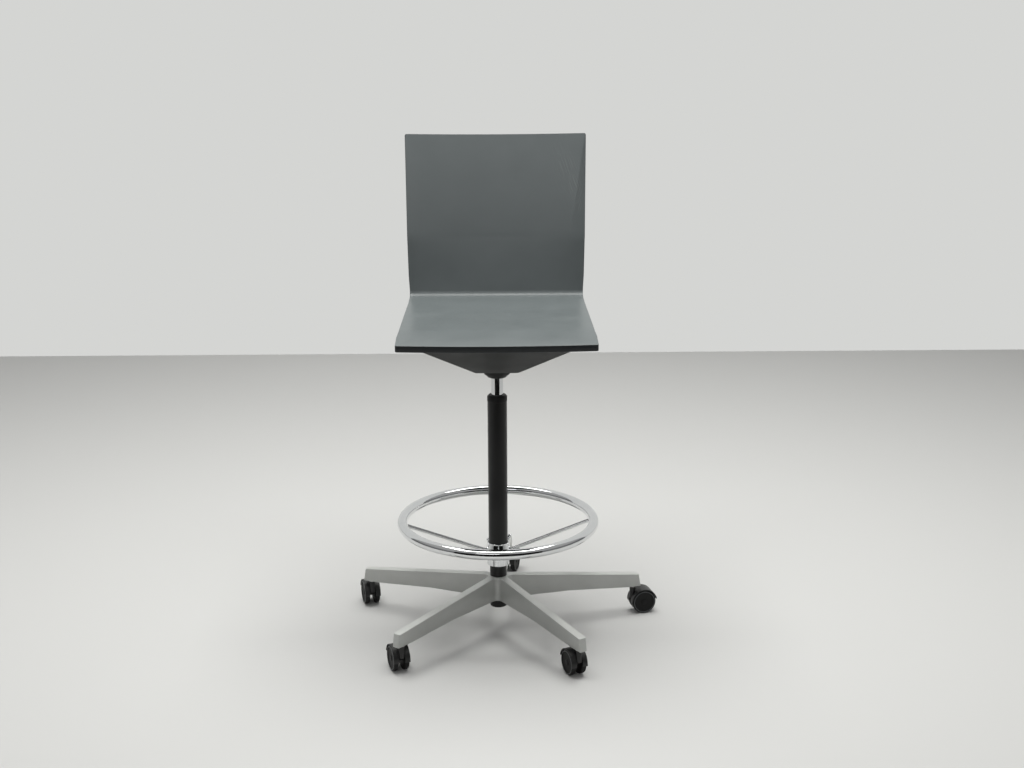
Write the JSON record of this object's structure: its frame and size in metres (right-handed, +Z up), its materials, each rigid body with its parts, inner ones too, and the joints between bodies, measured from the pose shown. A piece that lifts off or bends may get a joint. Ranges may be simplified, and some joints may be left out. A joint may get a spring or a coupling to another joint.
{
  "type": "drafting chair",
  "caption": "Tall swivel chair: flat moulded seat-and-back shell on a gas lift, chromed foot ring round a black column, low castor base.",
  "frame": {"origin": "on the floor, on the axis of the column", "axes": "+Z up along the column, -Y the way a sitter faces, +X to the right seen from the front"},
  "size_m": [0.6877, 0.6596, 1.0735],
  "materials": {
    "shell": "moulded shell, satin mid grey with fine grain",
    "pan": "moulded cover, satin dark grey",
    "chrome": "polished chrome plate",
    "black_paint": "satin black powder coat",
    "black_plastic": "moulded black plastic",
    "base_paint": "die-cast aluminium, satin light grey powder coat",
    "castor_hood": "moulded charcoal plastic",
    "castor_wheel": "moulded black plastic",
    "steel": "plain steel",
    "bracket_steel": "black coated steel",
    "nylon": "natural nylon"
  },
  "bodies": {
    "base": {"base_star": "base_paint", "column_tube": "black_paint", "column_cap": "black_plastic", "guide_bush": "nylon", "thrust_bearing": "steel", "castor_1_stem": "steel", "castor_2_stem": "steel", "castor_3_stem": "steel", "castor_4_stem": "steel", "castor_5_stem": "steel"},
    "lift_rod": {"piston_rod": "steel", "piston": "steel", "retaining_clip": "steel"},
    "seat": {"seat_shell": "shell", "seat_pan": "pan", "seat_bracket": "bracket_steel", "seat_spacers": "black_plastic", "plate_screws": "steel", "lever_pin": "steel", "gas_cylinder": "chrome", "rod_guide": "nylon"},
    "release_lever_arm": {"release_lever": "black_paint"},
    "release_pin": {"release_button": "steel"},
    "ring_slider": {"ring_sleeve": "black_plastic", "ring_collar": "chrome"},
    "ring": {"foot_ring": "chrome", "ring_hub": "chrome", "clamp_bolt": "steel", "clamp_nut": "chrome", "ring_spoke_1": "chrome", "ring_spoke_2": "chrome", "ring_spoke_3": "chrome", "ring_spoke_4": "chrome"},
    "ring_lever": {"clamp_lever": "chrome"},
    "castor_1": {"castor_1_housing": "castor_hood", "castor_1_axle": "steel"},
    "castor_1_left_roller": {"castor_1_wheel_left": "castor_wheel"},
    "castor_1_right_roller": {"castor_1_wheel_right": "castor_wheel"},
    "castor_2": {"castor_2_housing": "castor_hood", "castor_2_axle": "steel"},
    "castor_2_left_roller": {"castor_2_wheel_left": "castor_wheel"},
    "castor_2_right_roller": {"castor_2_wheel_right": "castor_wheel"},
    "castor_3": {"castor_3_housing": "castor_hood", "castor_3_axle": "steel"},
    "castor_3_left_roller": {"castor_3_wheel_left": "castor_wheel"},
    "castor_3_right_roller": {"castor_3_wheel_right": "castor_wheel"},
    "castor_4": {"castor_4_housing": "castor_hood", "castor_4_axle": "steel"},
    "castor_4_left_roller": {"castor_4_wheel_left": "castor_wheel"},
    "castor_4_right_roller": {"castor_4_wheel_right": "castor_wheel"},
    "castor_5": {"castor_5_housing": "castor_hood", "castor_5_axle": "steel"},
    "castor_5_left_roller": {"castor_5_wheel_left": "castor_wheel"},
    "castor_5_right_roller": {"castor_5_wheel_right": "castor_wheel"}
  },
  "joints": [
    {"name": "seat_swivel", "type": "hinge", "parent": "base", "child": "lift_rod", "pos_m": [0, 0, 0.062], "axis": [0, 0, 1], "continuous": true},
    {"name": "seat_lift", "type": "slide", "parent": "lift_rod", "child": "seat", "axis": [0, 0, 1], "range_m": [-0.022, 0.2]},
    {"name": "release_lever_tilt", "type": "hinge", "parent": "seat", "child": "release_lever_arm", "pos_m": [0, 0.032, 0.67], "axis": [1, 0, 0], "range_deg": [0, 5.5], "stiffness_Nm_per_rad": 4, "springref_deg": -5.73},
    {"name": "release_pin_press", "type": "slide", "parent": "seat", "child": "release_pin", "axis": [0, 0, -1], "range_m": [0, 0.0032]},
    {"name": "ring_height", "type": "slide", "parent": "base", "child": "ring_slider", "axis": [0, 0, 1], "range_m": [0, 0.18]},
    {"name": "ring_turn", "type": "hinge", "parent": "ring_slider", "child": "ring", "pos_m": [0, 0, 0.18], "axis": [0, 0, 1], "continuous": true},
    {"name": "ring_clamp", "type": "hinge", "parent": "ring", "child": "ring_lever", "pos_m": [0.0203, 0.02895, 0.196], "axis": [1, 0, 0], "range_deg": [-90, 0]},
    {"name": "castor_1_swivel", "type": "hinge", "parent": "base", "child": "castor_1", "pos_m": [0.30701, 0.07484, 0.055], "axis": [0, 0, 1], "continuous": true},
    {"name": "castor_1_left_spin", "type": "hinge", "parent": "castor_1", "child": "castor_1_left_roller", "pos_m": [0.3303, 0.08065, 0.0275], "axis": [-0.2419, 0.9703, 0], "continuous": true},
    {"name": "castor_1_right_spin", "type": "hinge", "parent": "castor_1", "child": "castor_1_right_roller", "pos_m": [0.3303, 0.08065, 0.0275], "axis": [-0.2419, 0.9703, 0], "continuous": true},
    {"name": "castor_2_swivel", "type": "hinge", "parent": "base", "child": "castor_2", "pos_m": [0.02369, 0.31511, 0.055], "axis": [0, 0, 1], "continuous": true},
    {"name": "castor_2_left_spin", "type": "hinge", "parent": "castor_2", "child": "castor_2_left_roller", "pos_m": [0.03031, 0.33818, 0.0275], "axis": [-0.9613, 0.2756, 0], "continuous": true},
    {"name": "castor_2_right_spin", "type": "hinge", "parent": "castor_2", "child": "castor_2_right_roller", "pos_m": [0.03031, 0.33818, 0.0275], "axis": [-0.9613, 0.2756, 0], "continuous": true},
    {"name": "castor_3_swivel", "type": "hinge", "parent": "base", "child": "castor_3", "pos_m": [-0.29237, 0.11991, 0.055], "axis": [0, 0, 1], "continuous": true},
    {"name": "castor_3_left_spin", "type": "hinge", "parent": "castor_3", "child": "castor_3_left_roller", "pos_m": [-0.29898, 0.14298, 0.0275], "axis": [-0.9613, -0.2756, 0], "continuous": true},
    {"name": "castor_3_right_spin", "type": "hinge", "parent": "castor_3", "child": "castor_3_right_roller", "pos_m": [-0.29898, 0.14298, 0.0275], "axis": [-0.9613, -0.2756, 0], "continuous": true},
    {"name": "castor_4_swivel", "type": "hinge", "parent": "base", "child": "castor_4", "pos_m": [-0.20439, -0.241, 0.055], "axis": [0, 0, 1], "continuous": true},
    {"name": "castor_4_left_spin", "type": "hinge", "parent": "castor_4", "child": "castor_4_left_roller", "pos_m": [-0.21279, -0.21852, 0.0275], "axis": [-0.9367, -0.3502, 0], "continuous": true},
    {"name": "castor_4_right_spin", "type": "hinge", "parent": "castor_4", "child": "castor_4_right_roller", "pos_m": [-0.21279, -0.21852, 0.0275], "axis": [-0.9367, -0.3502, 0], "continuous": true},
    {"name": "castor_5_swivel", "type": "hinge", "parent": "base", "child": "castor_5", "pos_m": [0.16605, -0.26886, 0.055], "axis": [0, 0, 1], "continuous": true},
    {"name": "castor_5_left_spin", "type": "hinge", "parent": "castor_5", "child": "castor_5_left_roller", "pos_m": [0.15667, -0.24676, 0.0275], "axis": [-0.9205, -0.3907, 0], "continuous": true},
    {"name": "castor_5_right_spin", "type": "hinge", "parent": "castor_5", "child": "castor_5_right_roller", "pos_m": [0.15667, -0.24676, 0.0275], "axis": [-0.9205, -0.3907, 0], "continuous": true}
  ],
  "couplings": [
    {"joint": "release_pin_press", "follows": "release_lever_tilt", "m_per_rad": 0.032}
  ]
}
